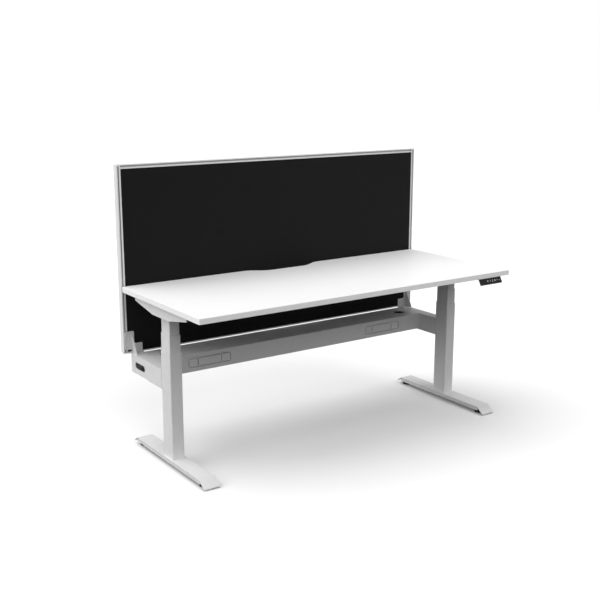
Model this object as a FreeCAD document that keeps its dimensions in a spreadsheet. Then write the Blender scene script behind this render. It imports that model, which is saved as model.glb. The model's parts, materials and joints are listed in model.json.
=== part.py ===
import FreeCAD, Part
import os
import re
import Sketcher

# Single-sided office workstation: a height-adjustable desk with a fabric screen and a cable beam behind it.
# Lengths are millimetres. The origin lies on the floor midway between the columns.
# +X runs to the user's right, +Y to the back and +Z up.
# Every side part is made on the right (+X) and mirrored to the left.

SIZES = {
    # Clearances
    "overrun": 5,
    "fit_gap": 0.15,
    "hole_gap": 0.2,
    "running_gap": 0.05,
    "thread_gap": 0.3,
    "button_gap": 0.3,
    # Worktop
    "worktop_width": 1800,
    "worktop_depth": 750,
    "worktop_thick": 25,
    "worktop_height": 780,
    "worktop_round": 5,
    "edging_thick": 2,
    "scallop_mouth": 410,
    "scallop_floor": 250,
    "scallop_depth": 55,
    "scallop_round": 110,
    # Tapered arms under the worktop
    "arm_width": 100,
    "arm_length": 500,
    "arm_flat": 150,
    "arm_depth": 52,
    "arm_end_depth": 20,
    "arm_sheet": 2.5,
    "arm_screw_end": 28,
    "arm_screw_inner": 140,
    "arm_screw_side": 30,
    "wood_screw_radius": 2,
    "wood_screw_bite": 16,
    "wood_screw_head": 2.5,
    "wood_screw_head_radius": 4,
    # Telescopic columns
    "column_inset": 65,
    "column_setback": 390,
    "outer_width": 60,
    "outer_depth": 90,
    "outer_length": 504,
    "stage_step": 2.5,
    "tube_wall": 1.5,
    "tube_round": 4,
    "mid_length": 500,
    "inner_length": 530,
    "head_thick": 5,
    "head_length": 140,
    "head_bolt_x": 36,
    "head_bolt_y": 58,
    "liner_clearance": 0.3,
    "liner_height": 40,
    "liner_inset": 4,
    "collar_height": 2,
    "collar_step": 0.3,
    # Spindle drive inside each column
    "base_thick": 6,
    "post_height": 345,
    "post_radius": 13.5,
    "post_wall": 3,
    "lower_nut_height": 28,
    "stage_floor": 6,
    "bearing_height": 8,
    "bearing_radius": 20,
    "bearing_clearance": 1,
    "spindle_outer_radius": 17.5,
    "spindle_inner_radius": 8.5,
    "spindle_wall": 2.7,
    "spindle_top": 396,
    "spindle_low": 8,
    "spindle_cap": 12,
    "drive_rod_radius": 5,
    "drive_rod_length": 360,
    "upper_nut_height": 28,
    "upper_nut_wall": 3.5,
    "motor_length": 150,
    "motor_radius": 21,
    # Feet and levelling glides
    "foot_width": 80,
    "foot_height": 40,
    "foot_straight": 310,
    "foot_front_run": 39,
    "foot_front_drop": 31,
    "foot_rear_run": 27,
    "foot_rear_drop": 19,
    "foot_sheet": 3,
    "foot_flange_height": 20,
    "foot_flange_inset": 2,
    "foot_bolt_x": 19,
    "foot_bolt_y": 32,
    "glide_front": 285,
    "glide_rear": 300,
    "glide_radius": 25,
    "glide_thick": 8,
    "glide_hub_radius": 9,
    "glide_hub": 5,
    "glide_stud_radius": 5,
    "glide_stud": 20,
    "glide_nut_radius": 10,
    "glide_nut_height": 12,
    # Frame bolts
    "bolt_radius": 3,
    "bolt_length": 12,
    "bolt_head": 3,
    "bolt_head_radius": 5,
    # Side arms that carry the beam and the screen
    "side_arm_top": 450,
    "side_arm_height": 90,
    "side_arm_sheet": 2.5,
    "side_arm_floor": 3,
    "side_arm_floor_length": 147,
    "side_arm_slot_length": 103,
    "side_arm_slot_height": 31,
    "side_arm_slot_setback": 4,
    "side_arm_slot_drop": 2.5,
    "stub_length": 45,
    "stub_wall": 3,
    "stub_gap": 0.5,
    "stub_bolt_setback": 24,
    "stub_bolt_x": 13,
    # Cable beam
    "beam_gap": 13,
    "beam_depth": 174,
    "beam_drop": 87,
    "beam_sheet": 2,
    "beam_hole_inset": 77,
    "beam_hole_radius": 30,
    "beam_bolt_reach": 68,
    "knock_out_inset": 153,
    "knock_out_small": 50,
    "knock_out_long": 130,
    "knock_out_rise": 22,
    "knock_out_height": 43,
    "knock_out_slit": 3,
    "knock_out_bridge": 4,
    # Screen
    "screen_gap": 5,
    "screen_thick": 32,
    "screen_height": 900,
    "frame_face": 20,
    "frame_rim": 5,
    "frame_groove": 7,
    "frame_groove_depth": 9,
    "frame_groove_stop": 8.5,
    "bottom_sole": 6,
    "core_thick": 12,
    "core_bite": 7,
    "core_gap": 0.4,
    "fabric_recess": 1,
    "fabric_gap": 0.5,
    "dowel_radius": 3,
    "dowel_length": 44,
    "dowel_bite": 15,
    "dowel_inset": 7,
    # Screen brackets
    "bracket_sheet": 4,
    "bracket_edge": 4,
    "bracket_notch_inset": 22,
    "bracket_notch_height": 20,
    "bracket_neck_inset": 53,
    "bracket_height": 108,
    "bracket_tab_height": 47,
    "bracket_round": 6,
    "bracket_neck_round": 10,
    "bracket_hole_inset": 30,
    "bracket_hole_rise": 14,
    "bracket_hole_width": 20,
    "bracket_hole_height": 10,
    "gusset_offset": 52,
    "gusset_foot": 53,
    "gusset_toe": 6,
    "gusset_top": 4,
    "gusset_drop": 16,
    "flange_bolt_setback": 26,
    "flange_bolt_near": 12,
    "flange_bolt_far": 36,
    "clamp_thick": 4,
    "clamp_width": 36,
    "clamp_rise": 5,
    "clamp_height": 105,
    "screen_bolt_radius": 2.5,
    "screen_bolt_head": 3,
    "screen_bolt_head_radius": 4.5,
    "screen_bolt_rise": 34,
    "screen_bolt_pitch": 61,
    "screen_nut": 4,
    # Control box
    "control_width": 280,
    "control_depth": 110,
    "control_height": 40,
    "control_wall": 2.5,
    "control_y": 60,
    "control_ear": 22,
    "control_ear_thick": 4,
    "control_ear_screw": 40,
    "control_peg_height": 4,
    "control_peg_radius": 4,
    "control_peg_x": 120,
    "control_peg_y": 40,
    "control_board_thick": 1.6,
    "control_board_margin": 4,
    "control_coil_width": 70,
    "control_coil_depth": 55,
    "control_coil_height": 24,
    "control_coil_x": 70,
    "socket_width": 16,
    "socket_height": 12,
    "socket_pitch": 32,
    "inlet_width": 24,
    "inlet_x": 96,
    "socket_rise": 14,
    # Handset
    "handset_inset": 135,
    "handset_width": 143,
    "handset_reach": 15,
    "handset_drop": 28,
    "handset_thick": 11,
    "handset_depth": 50,
    "handset_flange": 6,
    "handset_wall": 2.5,
    "handset_recess": 7,
    "handset_panel_thick": 2,
    "handset_board_sink": 4.6,
    "handset_board_thick": 1.6,
    "handset_screw_x": 50,
    "handset_screw_setback": 30,
    "button_first": 24,
    "button_pitch": 16.4,
    "button_width": 12,
    "button_height": 16,
    "button_proud": 0.3,
    "button_flange": 1,
    "button_flange_thick": 0.8,
}

PLACES = {
    "front_edge": "-column_setback",
    "rear_edge": "front_edge + worktop_depth",
    "worktop_under": "worktop_height - worktop_thick",
    "arm_bottom": "worktop_under - arm_depth",
    "arm_screw_reach": "arm_length / 2 - arm_screw_end",
    "half_width": "worktop_width / 2",
    "column_x": "half_width - column_inset",
    "mid_width": "outer_width - 2 * stage_step",
    "mid_depth": "outer_depth - 2 * stage_step",
    "inner_width": "mid_width - 2 * stage_step",
    "inner_depth": "mid_depth - 2 * stage_step",
    "outer_top": "foot_height + outer_length",
    "mid_top": "(outer_top + arm_bottom) / 2",
    "mid_bottom": "mid_top - mid_length",
    "inner_top": "worktop_under - arm_sheet - head_thick",
    "inner_bottom": "inner_top - inner_length",
    "motor_bottom": "inner_top - motor_length",
    "liner_thick": "stage_step - tube_wall - liner_clearance",
    "base_top": "foot_height + base_thick",
    "post_top": "base_top + post_height",
    "bearing_low": "mid_bottom + stage_floor",
    "bearing_top": "bearing_low + bearing_height",
    "spindle_high": "mid_bottom + spindle_top",
    "post_bore": "post_radius + bearing_clearance",
    "upper_nut_bore": "spindle_outer_radius + thread_gap",
    "upper_nut_radius": "upper_nut_bore + upper_nut_wall",
    "foot_under": "foot_height - foot_sheet",
    "glide_stud_top": "glide_thick + glide_hub + glide_stud",
    "side_arm_low": "side_arm_top - side_arm_height",
    "side_arm_in": "column_x - outer_width / 2",
    "side_arm_out": "column_x + outer_width / 2",
    "column_rear": "outer_depth / 2",
    "screen_front": "rear_edge + screen_gap",
    "screen_back": "screen_front + screen_thick",
    "screen_mid": "screen_front + screen_thick / 2",
    "screen_low": "side_arm_top",
    "screen_top": "screen_low + screen_height",
    "screen_half": "half_width",
    "stile_in": "screen_half - frame_face",
    "groove_near": "frame_rim",
    "groove_far": "frame_rim + frame_groove",
    "screen_bolt_x": "screen_half - frame_rim - frame_groove / 2",
    "screen_bolt_low": "screen_low + screen_bolt_rise",
    "screen_bolt_high": "screen_bolt_low + screen_bolt_pitch",
    "beam_rear": "screen_front - beam_gap",
    "beam_front": "beam_rear - beam_depth",
    "beam_low": "side_arm_top - beam_drop",
    "beam_mid": "beam_rear - beam_depth / 2",
    "beam_hole_x": "side_arm_in - beam_hole_inset",
    "knock_out_far": "side_arm_in - knock_out_inset",
    "knock_out_low": "beam_low + knock_out_rise",
    "slot_mid": "side_arm_low + side_arm_height / 2 - side_arm_slot_drop",
    "slot_y": "beam_mid + side_arm_slot_setback",
    "stub_top": "side_arm_top - side_arm_sheet - stub_gap",
    "bracket_front": "screen_front - bracket_sheet",
    "bracket_out": "screen_half - bracket_edge",
    "bracket_notch": "screen_half - bracket_notch_inset",
    "bracket_neck": "screen_half - bracket_neck_inset",
    "bracket_hole_x": "screen_half - bracket_hole_inset",
    "bracket_hole_z": "side_arm_top + bracket_hole_rise",
    "gusset_x": "side_arm_in + gusset_offset",
    "bracket_top": "side_arm_top + bracket_height",
    "clamp_low": "screen_low + clamp_rise",
    "clamp_back": "screen_back + clamp_thick",
    "control_floor": "worktop_under - control_height",
    "control_board_low": "control_floor + control_wall + control_peg_height",
    "socket_low": "control_floor + socket_rise",
    "control_rear": "control_y + control_depth / 2",
    "handset_x": "half_width - handset_inset",
    "handset_tilt": "atan(handset_reach / handset_drop)",
    "handset_face": "sqrt(handset_reach ^ 2 + handset_drop ^ 2)",
    "handset_fold": "(handset_flange - handset_thick * sin(handset_tilt)) / cos(handset_tilt)",
    "handset_panel_low": "handset_face - handset_wall - fit_gap",
    "first_button": "handset_x - button_first",
}

BUTTONS = ("memory", "one", "two", "three", "up", "down")
SIDES = (-1, 1)
QUARTER_TURN = 90
TURNS = {
    "x": FreeCAD.Rotation(FreeCAD.Vector(0, 1, 0), QUARTER_TURN),
    "y": FreeCAD.Rotation(FreeCAD.Vector(1, 0, 0), -QUARTER_TURN),
    "z": FreeCAD.Rotation(),
}

doc = FreeCAD.newDocument("workstation")
sheet = doc.addObject("Spreadsheet::Sheet", "dims")
nodes = []


def fill_sheet():
    for row, (name, size) in enumerate(SIZES.items(), start=1):
        sheet.set(f"A{row}", name)
        sheet.set(f"B{row}", str(size))
        sheet.setAlias(f"B{row}", name)
    doc.recompute()


def formula(text):
    """Writes a sum of named sizes as an expression on the sheet."""
    def word(found):
        name = found.group()
        if name in PLACES:
            return f"({formula(PLACES[name])})"
        return f"dims.{name}" if name in SIZES else name
    return re.sub(r"[a-z]\w*", word, text)


def value(text):
    result = sheet.evalExpression(formula(text))
    return float(getattr(result, "Value", result))


def bind(item, prop, text):
    item.setExpression(prop, formula(text))


def place(item, spot):
    for axis, text in zip("xyz", spot):
        bind(item, f"Placement.Base.{axis}", text)


def node(label, item):
    item.Label = label
    nodes.append(item)


# Spans: the low and high place of a piece along one axis

def about(centre, size):
    return f"({centre}) - ({size}) / 2", f"({centre}) + ({size}) / 2"


def rise(low, size):
    return low, f"({low}) + ({size})"


def past(span):
    return f"({span[0]}) - overrun", f"({span[1]}) + overrun"


def extent(span):
    return f"({span[1]}) - ({span[0]})"


# Solids

def slab(name, x, y, z):
    item = doc.addObject("Part::Box", name)
    for prop, span in zip(("Length", "Width", "Height"), (x, y, z)):
        bind(item, prop, extent(span))
    place(item, (x[0], y[0], z[0]))
    return item


def rod(name, centre, radius, span, axis="z"):
    """A cylinder along one axis; centre gives its place on the other two."""
    item = doc.addObject("Part::Cylinder", name)
    bind(item, "Radius", radius)
    bind(item, "Height", extent(span))
    item.Placement = FreeCAD.Placement(FreeCAD.Vector(), TURNS[axis])
    spot = list(centre)
    spot.insert("xyz".index(axis), span[0])
    place(item, spot)
    return item


def fuse(name, items):
    item = doc.addObject("Part::MultiFuse", name)
    item.Shapes = items
    item.Refine = True
    return item


def cut(name, base, tools):
    item = doc.addObject("Part::Cut", name)
    item.Base = base
    item.Tool = tools[0] if len(tools) == 1 else fuse(name + "_tools", tools)
    return item


def group(name, items):
    item = doc.addObject("Part::Compound", name)
    item.Links = items
    return item


def mirrored(item):
    twin = doc.addObject("Part::Mirroring", item.Name + "_twin")
    twin.Source = item
    twin.Normal = (1, 0, 0)
    return twin


def pair(label, item):
    """One node on the right and its mirror image on the left."""
    node(label + "_right", item)
    node(label + "_left", mirrored(item))


def both(label, items):
    """One node that groups pieces on the right with their mirror images."""
    node(label, group(label, items + [mirrored(item) for item in items]))


def ring(name, centre, inner, outer, span):
    outside = rod(name + "_out", centre, outer, span)
    return cut(name, outside, [rod(name + "_bore", centre, inner, past(span))])


PLANES = {"z": "XY_Plane", "y": "XZ_Plane", "x": "YZ_Plane"}


def corner_edges(shape, axis, corner):
    """Names the edges that run along the axis through one corner of an outline."""
    kept = [name for name in "xyz" if name != axis]
    near = value("fit_gap")
    names = []
    for number, edge in enumerate(shape.Edges, start=1):
        ends = [[getattr(point.Point, name) for name in kept] for point in edge.Vertexes]
        gaps = [abs(end[i] - corner[i]) for end in ends for i in range(len(kept))]
        if len(ends) == 2 and max(gaps) < near:
            names.append(f"Edge{number}")
    return names


def prism(name, axis, points, span, rounds=()):
    """A padded outline; rounds pairs corner numbers with the radius that they get."""
    body = doc.addObject("PartDesign::Body", name)
    sketch = body.newObject("Sketcher::SketchObject", name + "_outline")
    plane = next(item for item in body.Origin.OriginFeatures if item.Role == PLANES[axis])
    sketch.AttachmentSupport = [(plane, "")]
    sketch.MapMode = "FlatFace"
    corners = [(value(across), value(along)) for across, along in points]
    count = len(corners)
    for i in range(count):
        start, end = corners[i], corners[(i + 1) % count]
        sketch.addGeometry(Part.LineSegment(FreeCAD.Vector(*start), FreeCAD.Vector(*end)))
    for i in range(count):
        sketch.addConstraint(Sketcher.Constraint("Coincident", i, 2, (i + 1) % count, 1))
    for i, texts in enumerate(points):
        for kind, text, size in zip(("DistanceX", "DistanceY"), texts, corners[i]):
            number = sketch.addConstraint(Sketcher.Constraint(kind, -1, 1, i, 1, size))
            bind(sketch, f"Constraints[{number}]", text)
    last = body.newObject("PartDesign::Pad", name + "_pad")
    last.Profile = sketch
    bind(last, "Length", extent(span))
    bind(body, f"Placement.Base.{axis}", span[1] if axis == "y" else span[0])
    doc.recompute()
    for number, (picked, radius) in enumerate(rounds):
        edges = [edge for i in picked for edge in corner_edges(last.Shape, axis, corners[i])]
        rounding = body.newObject("PartDesign::Fillet", f"{name}_round{number}")
        rounding.Base = (last, edges)
        bind(rounding, "Radius", radius)
        doc.recompute()
        last = rounding
    return body


def bar(name, x, y, z, radius):
    """An upright block with four rounded edges."""
    outline = [(x[0], y[0]), (x[1], y[0]), (x[1], y[1]), (x[0], y[1])]
    return prism(name, "z", outline, z, [(range(len(outline)), radius)])


def tube(name, width, depth, radius, wall, z):
    """An upright rectangular tube on the column's centre line, measured over its outside."""
    outside = bar(name + "_out", about("column_x", width), about("0", depth), z, radius)
    hollow = bar(
        name + "_hollow",
        about("column_x", f"{width} - 2 * ({wall})"),
        about("0", f"{depth} - 2 * ({wall})"),
        past(z),
        f"{radius} - ({wall})",
    )
    return cut(name, outside, [hollow])


# Fasteners

def bolt(name, seat, axis, way):
    """A button-head bolt; seat is the point under its head and way the direction of its shank."""
    along = "xyz".index(axis)
    centre = [text for i, text in enumerate(seat) if i != along]
    foot = seat[along]
    shank = (foot, f"({foot}) + bolt_length") if way > 0 else (f"({foot}) - bolt_length", foot)
    head = (f"({foot}) - bolt_head", foot) if way > 0 else (foot, f"({foot}) + bolt_head")
    parts = [
        rod(name + "_shank", centre, "bolt_radius", shank, axis),
        rod(name + "_head", centre, "bolt_head_radius", head, axis),
    ]
    return fuse(name, parts)


def bolt_hole(name, seat, axis, thick):
    """The hole for a bolt through sheet that lies up to thick on each side of the point under its head."""
    along = "xyz".index(axis)
    centre = [text for i, text in enumerate(seat) if i != along]
    span = (f"({seat[along]}) - ({thick})", f"({seat[along]}) + ({thick})")
    return rod(name, centre, "bolt_radius + hole_gap", span, axis)


def bolt_holes(name, seats, axis, thick):
    return [bolt_hole(f"{name}{i}", seat, axis, thick) for i, seat in enumerate(seats)]


def wood_screw(name, x, y, seat):
    """A screw driven up into the worktop; seat is the place under its head."""
    parts = [
        rod(name + "_shank", (x, y), "wood_screw_radius", (seat, "worktop_under + wood_screw_bite")),
        rod(name + "_head", (x, y), "wood_screw_head_radius", (f"({seat}) - wood_screw_head", seat)),
    ]
    return fuse(name, parts)


def wood_screw_hole(name, x, y, low):
    return rod(name, (x, y), "wood_screw_radius + hole_gap", past((low, "worktop_under")))


def corner_spots(x, reach_x, y, reach_y):
    return [(f"({x}) + {i} * ({reach_x})", f"({y}) + {j} * ({reach_y})") for i in SIDES for j in SIDES]


# Places where bolts and screws go

FOOT_BOLTS = [spot + ("foot_under",) for spot in corner_spots("column_x", "foot_bolt_x", "0", "foot_bolt_y")]
STUB_BOLTS = [
    (f"column_x + {side} * stub_bolt_x", "column_rear + stub_bolt_setback", "side_arm_low - side_arm_floor")
    for side in SIDES
]
FLANGE_BOLTS = [
    (f"side_arm_in + {reach}", "bracket_front - flange_bolt_setback", "side_arm_top + bracket_sheet")
    for reach in ("flange_bolt_near", "flange_bolt_far")
]
BEAM_BOLTS = [
    ("side_arm_in - beam_sheet", f"beam_mid + {side} * beam_bolt_reach", "slot_mid") for side in SIDES
]
HEAD_BOLTS = [spot + ("inner_top",) for spot in corner_spots("column_x", "head_bolt_x", "0", "head_bolt_y")]
SCREEN_BOLTS = ("screen_bolt_low", "screen_bolt_high")
ARM_SCREWS = [
    spot for reach in ("arm_screw_inner", "arm_screw_reach")
    for spot in corner_spots("column_x", "arm_screw_side", "0", reach)
]
CONTROL_SCREWS = corner_spots("0", "(control_width + control_ear) / 2", "control_y", "control_ear_screw")
HANDSET_SCREWS = [
    (f"handset_x + {side} * handset_screw_x", "front_edge + handset_screw_setback") for side in SIDES
]


# Worktop

def top_outline(name, inset):
    """The worktop's outline, drawn in by inset, with the cable scallop in its rear edge."""
    slope = "atan(2 * scallop_depth / (scallop_mouth - scallop_floor))"
    half = f"half_width - ({inset})"
    front = f"front_edge + ({inset})"
    rear = f"rear_edge - ({inset})"
    floor = f"rear_edge - scallop_depth - ({inset})"
    mouth = f"scallop_mouth / 2 + ({inset}) * tan({slope} / 2)"
    bottom = f"scallop_floor / 2 + ({inset}) * tan({slope} / 2)"
    outline = [
        (f"-({half})", front), (half, front), (half, rear), (mouth, rear), (bottom, floor),
        (f"-({bottom})", floor), (f"-({mouth})", rear), (f"-({half})", rear),
    ]
    rounds = [
        ((0, 1, 2, 7), f"worktop_round - ({inset})"),
        ((3, 6), f"scallop_round - ({inset})"),
        ((4, 5), f"scallop_round + ({inset})"),
    ]
    return prism(name, "z", outline, ("worktop_under", "worktop_height"), rounds)


def make_worktop():
    board = top_outline("board", "edging_thick")
    node("worktop", board)
    node("worktop_edging", cut("edging", top_outline("edging_outline", "0"), [board]))


def make_support_arms():
    half, flat = "arm_length / 2", "arm_flat / 2"
    end = "worktop_under - arm_end_depth"
    profile = [
        (f"-{half}", "worktop_under"), (half, "worktop_under"), (half, end),
        (flat, "arm_bottom"), (f"-{flat}", "arm_bottom"), (f"-{half}", end),
    ]
    shell = prism("arm_profile", "x", profile, about("column_x", "arm_width"))
    hollow = slab(
        "arm_hollow", about("column_x", "arm_width - 2 * arm_sheet"), past((f"-{half}", half)),
        ("arm_bottom - overrun", "worktop_under - arm_sheet"),
    )
    holes = bolt_holes("arm_bolt_hole", HEAD_BOLTS, "z", "bolt_length")
    for i, (x, y) in enumerate(ARM_SCREWS):
        holes.append(wood_screw_hole(f"arm_screw_hole{i}", x, y, "worktop_under - arm_sheet"))
    pair("support_arm", cut("support_arm", shell, [hollow] + holes))


def make_worktop_screws():
    screws = []
    for i, (x, y) in enumerate(ARM_SCREWS):
        screw = wood_screw(f"arm_screw{i}", x, y, "worktop_under - arm_sheet")
        screws += [screw, mirrored(screw)]
    for i, (x, y) in enumerate(CONTROL_SCREWS):
        screws.append(wood_screw(f"control_screw{i}", x, y, "worktop_under - control_ear_thick"))
    for i, (x, y) in enumerate(HANDSET_SCREWS):
        screws.append(wood_screw(f"handset_screw{i}", x, y, "worktop_under - handset_flange"))
    node("worktop_screws", group("worktop_screws", screws))


# Columns

def make_outer_tubes():
    tall = ("foot_height", "outer_top")
    shell = tube("outer", "outer_width", "outer_depth", "tube_round", "tube_wall", tall)
    width = "outer_width - 2 * side_arm_sheet - 2 * stub_gap"
    reach = rise("column_rear", "stub_length")
    stub = cut("stub", slab("stub_out", about("column_x", width), reach, ("side_arm_low", "stub_top")), [
        slab(
            "stub_hollow", about("column_x", f"{width} - 2 * stub_wall"), past(reach),
            ("side_arm_low + stub_wall", "stub_top - stub_wall"),
        ),
    ] + bolt_holes("stub_hole", STUB_BOLTS, "z", "bolt_length"))
    pair("outer_tube", fuse("outer_tube", [shell, stub]))


def make_column_bases():
    hollow_x = about("column_x", "outer_width - 2 * tube_wall - 2 * fit_gap")
    hollow_y = about("0", "outer_depth - 2 * tube_wall - 2 * fit_gap")
    plate = bar("base_plate", hollow_x, hollow_y, ("foot_height", "base_top"), "tube_round - tube_wall")
    drilled = cut("base_drilled", plate, bolt_holes("base_hole", FOOT_BOLTS, "z", "bolt_length"))
    post = ring("post", ("column_x", "0"), "post_radius - post_wall", "post_radius", ("base_top", "post_top"))
    both("column_bases", [fuse("column_base", [drilled, post])])


def mouth_liner(name, width, depth, top):
    """A sleeve inside a tube's mouth, with a thin collar that rests on the tube's end."""
    sleeve = tube(f"{name}_sleeve", f"{width} - 2 * tube_wall", f"{depth} - 2 * tube_wall",
                  "tube_round - tube_wall", "liner_thick", (f"{top} - liner_height", top))
    collar = tube(f"{name}_collar", f"{width} - 2 * collar_step", f"{depth} - 2 * collar_step",
                  "tube_round - collar_step", "tube_wall + liner_thick - collar_step",
                  rise(top, "collar_height"))
    return fuse(name, [sleeve, collar])


def make_liners():
    """Thin plastic sleeves that guide each stage in the one outside it."""
    wrap = "2 * (liner_thick)"
    sleeve_round = "tube_round + liner_thick"
    both("outer_tube_liners", [mouth_liner("outer_liner", "outer_width", "outer_depth", "outer_top")])
    mouth = mouth_liner("mid_mouth_liner", "mid_width", "mid_depth", "mid_top")
    sleeve = tube("mid_sleeve_liner", f"mid_width + {wrap}", f"mid_depth + {wrap}", sleeve_round,
                  "liner_thick", rise("mid_bottom + liner_inset", "liner_height"))
    pair("mid_liners", group("mid_liners", [mouth, sleeve]))
    both("inner_tube_liners", [
        tube("inner_liner", f"inner_width + {wrap}", f"inner_depth + {wrap}", sleeve_round,
             "liner_thick", rise("inner_bottom + liner_inset", "liner_height")),
    ])


def stage_floor(name, width, depth, low, bore):
    """The plate welded in the lower end of a sliding tube."""
    plate = bar(
        name + "_plate",
        about("column_x", f"{width} - 2 * tube_wall"),
        about("0", f"{depth} - 2 * tube_wall"),
        rise(low, "stage_floor"),
        "tube_round - tube_wall",
    )
    return cut(name, plate, [rod(name + "_bore", ("column_x", "0"), bore, past(rise(low, "stage_floor")))])


def make_mid_tubes():
    shell = tube("mid", "mid_width", "mid_depth", "tube_round", "tube_wall", ("mid_bottom", "mid_top"))
    floor = stage_floor("mid_floor", "mid_width", "mid_depth", "mid_bottom", "post_bore")
    pair("mid_tube", fuse("mid_tube", [shell, floor]))


def make_inner_tubes():
    tall = ("inner_bottom", "inner_top")
    bore = "upper_nut_radius + fit_gap"
    shell = tube("inner", "inner_width", "inner_depth", "tube_round", "tube_wall", tall)
    floor = stage_floor("inner_floor", "inner_width", "inner_depth", "inner_bottom", bore)
    head = cut("head", slab(
        "head_plate", about("column_x", "arm_width - 2 * arm_sheet - 2 * fit_gap"), about("0", "head_length"),
        rise("inner_top", "head_thick"),
    ), bolt_holes("head_hole", HEAD_BOLTS, "z", "bolt_length"))
    pair("inner_tube", fuse("inner_tube", [shell, floor, head]))


def make_head_bolts():
    """Short bolts that hold each column head to its support arm and end flush with the arm's upper face."""
    bolts = []
    for i, (x, y, seat) in enumerate(HEAD_BOLTS):
        bolts.append(fuse(f"head_bolt{i}", [
            rod(f"head_bolt_shank{i}", (x, y), "bolt_radius", (seat, "worktop_under")),
            rod(f"head_bolt_head{i}", (x, y), "bolt_head_radius", (f"{seat} - bolt_head", seat)),
        ]))
    both("column_head_bolts", bolts)


def make_drives():
    centre = ("column_x", "0")
    nut_span = rise("post_top", "lower_nut_height")
    both("lower_nuts", [
        ring("lower_nut", centre, "spindle_inner_radius + thread_gap", "post_radius", nut_span),
    ])
    upper_span = rise("inner_bottom", "upper_nut_height")
    both("upper_nuts", [ring("upper_nut", centre, "upper_nut_bore", "upper_nut_radius", upper_span)])
    pair("spindle_bearing", ring(
        "bearing", centre, "post_bore", "bearing_radius", ("bearing_low", "bearing_top"),
    ))
    pair("lift_spindle", fuse("lift_spindle", [
        ring("spindle_outside", centre, "spindle_outer_radius - spindle_wall", "spindle_outer_radius",
             ("bearing_top", "spindle_high")),
        ring("spindle_inside", centre, "spindle_inner_radius - spindle_wall", "spindle_inner_radius",
             ("mid_bottom + spindle_low", "spindle_high")),
        ring("spindle_cap", centre, "spindle_inner_radius - spindle_wall", "spindle_outer_radius",
             ("spindle_high - spindle_cap", "spindle_high")),
    ]))
    pair("drive_rod", rod(
        "drive_rod", centre, "drive_rod_radius", ("motor_bottom - drive_rod_length", "motor_bottom"),
    ))
    both("lift_motors", [rod("lift_motor", centre, "motor_radius", ("motor_bottom", "inner_top"))])


# Feet

def make_feet():
    front = ("-foot_straight - foot_front_run", "foot_height - foot_front_drop")
    rear = ("foot_straight + foot_rear_run", "foot_height - foot_rear_drop")
    crest = [front, ("-foot_straight", "foot_height"), ("foot_straight", "foot_height"), rear]
    under = [(y, f"{z} - foot_sheet") for y, z in reversed(crest)]
    plate = prism("foot_plate", "x", crest + under, about("column_x", "foot_width"))
    flanges = []
    for i, side in enumerate(SIDES):
        centre = f"column_x + {side} * (foot_width / 2 - foot_flange_inset - foot_sheet / 2)"
        flanges.append(slab(
            f"foot_flange{i}", about(centre, "foot_sheet"), about("0", "2 * foot_straight"),
            ("foot_height - foot_flange_height", "foot_under"),
        ))
    holes = bolt_holes("foot_hole", FOOT_BOLTS, "z", "bolt_length")
    pair("foot", cut("foot", fuse("foot_shell", [plate] + flanges), holes))


def make_glides():
    spots = {"front": "-glide_front", "rear": "glide_rear"}
    nuts = []
    for name, y in spots.items():
        centre = ("column_x", y)
        nuts.append(ring(
            f"glide_nut_{name}", centre, "glide_stud_radius + running_gap", "glide_nut_radius",
            ("foot_under - glide_nut_height", "foot_under"),
        ))
        pair(f"glide_{name}", fuse(f"glide_{name}", [
            rod(f"glide_pad_{name}", centre, "glide_radius", rise("0", "glide_thick")),
            rod(f"glide_hub_{name}", centre, "glide_hub_radius", rise("glide_thick", "glide_hub")),
            rod(f"glide_stud_{name}", centre, "glide_stud_radius", ("glide_thick", "glide_stud_top")),
        ]))
    both("glide_nuts", nuts)


# Side arms and cable beam

def slot_tool(name, x):
    """A long round-ended hole through the walls that lie within the x span."""
    radius = "side_arm_slot_height / 2"
    straight = "side_arm_slot_length - side_arm_slot_height"
    ends = [f"slot_y + {side} * ({straight}) / 2" for side in SIDES]
    parts = [rod(f"{name}_end{i}", (y, "slot_mid"), radius, x, "x") for i, y in enumerate(ends)]
    tall = about("slot_mid", "side_arm_slot_height")
    parts.append(slab(name + "_straight", x, about("slot_y", straight), tall))
    return fuse(name, parts)


def make_side_arms():
    reach = ("column_rear", "bracket_front")
    across = ("side_arm_in", "side_arm_out")
    shell = cut("side_arm_shell", slab("side_arm_out", across, reach, ("side_arm_low", "side_arm_top")), [
        slab(
            "side_arm_hollow", about("column_x", "outer_width - 2 * side_arm_sheet"),
            ("column_rear - overrun", "bracket_front - side_arm_sheet"),
            ("side_arm_low - overrun", "side_arm_top - side_arm_sheet"),
        ),
    ])
    floor = slab(
        "side_arm_floor", across, rise("column_rear", "side_arm_floor_length"),
        ("side_arm_low - side_arm_floor", "side_arm_low"),
    )
    under = slab(
        "side_arm_under", about("column_x", "outer_width - 2 * side_arm_sheet"),
        ("column_rear + stub_length + stub_gap", "bracket_front"), rise("side_arm_low", "side_arm_sheet"),
    )
    holes = [slot_tool("side_arm_slot", past(across))]
    holes += bolt_holes("side_arm_stub_hole", STUB_BOLTS, "z", "bolt_length")
    holes += bolt_holes("side_arm_top_hole", FLANGE_BOLTS, "z", "bolt_length")
    holes += bolt_holes("side_arm_end_hole", BEAM_BOLTS, "x", "bolt_length")
    pair("side_arm", cut("side_arm", fuse("side_arm_body", [shell, floor, under]), holes))


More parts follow.
